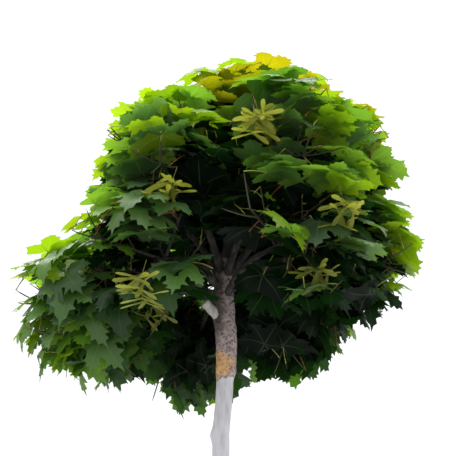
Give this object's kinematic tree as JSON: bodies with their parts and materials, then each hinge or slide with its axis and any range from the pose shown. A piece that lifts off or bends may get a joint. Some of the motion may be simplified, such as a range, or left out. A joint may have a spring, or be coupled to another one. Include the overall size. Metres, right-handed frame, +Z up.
{
  "type": "globe maple tree",
  "caption": "Young globe maple grafted on a straight standard stem, with root flare, graft union, arching boughs and a round crown of five-lobed leaves and winged keys.",
  "frame": {"origin": "centre of the flat cut under the stem, at ground level", "axes": "+Z up along the stem, -Y to the front, +X to the viewer's right"},
  "size_m": [1.0833, 0.9905, 3.0189],
  "materials": {
    "trunk_bark": "smooth pale grey young bark, rough grey-mauve with an orange-brown scar at the graft union",
    "bough_bark": "dark grey-brown young bark",
    "cut_wood": "weathered pale sawn end",
    "foliage": "five-lobed leaves, mid and deep green, lime to yellow at the top, on thin stalks, with winged keys"
  },
  "bodies": {
    "root": {"trunk": "trunk_bark", "pruned_stub": "cut_wood", "bough_top": "bough_bark", "bough_upper_right": "bough_bark", "bough_upper_back": "bough_bark", "bough_upper_left": "bough_bark", "bough_upper_front_left": "bough_bark", "bough_upper_front_right": "bough_bark", "bough_right_lobe": "bough_bark", "bough_back_right": "bough_bark", "bough_back": "bough_bark", "bough_back_left": "bough_bark", "bough_left_lobe": "bough_bark", "bough_front_left": "bough_bark", "bough_front_right": "bough_bark", "foliage_top": "foliage", "foliage_upper_right": "foliage", "foliage_upper_back": "foliage", "foliage_upper_left": "foliage", "foliage_upper_front_left": "foliage", "foliage_upper_front_right": "foliage", "foliage_right_lobe": "foliage", "foliage_back_right": "foliage", "foliage_back": "foliage", "foliage_back_left": "foliage", "foliage_left_lobe": "foliage", "foliage_front_left": "foliage", "foliage_front_right": "foliage"}
  },
  "joints": []
}
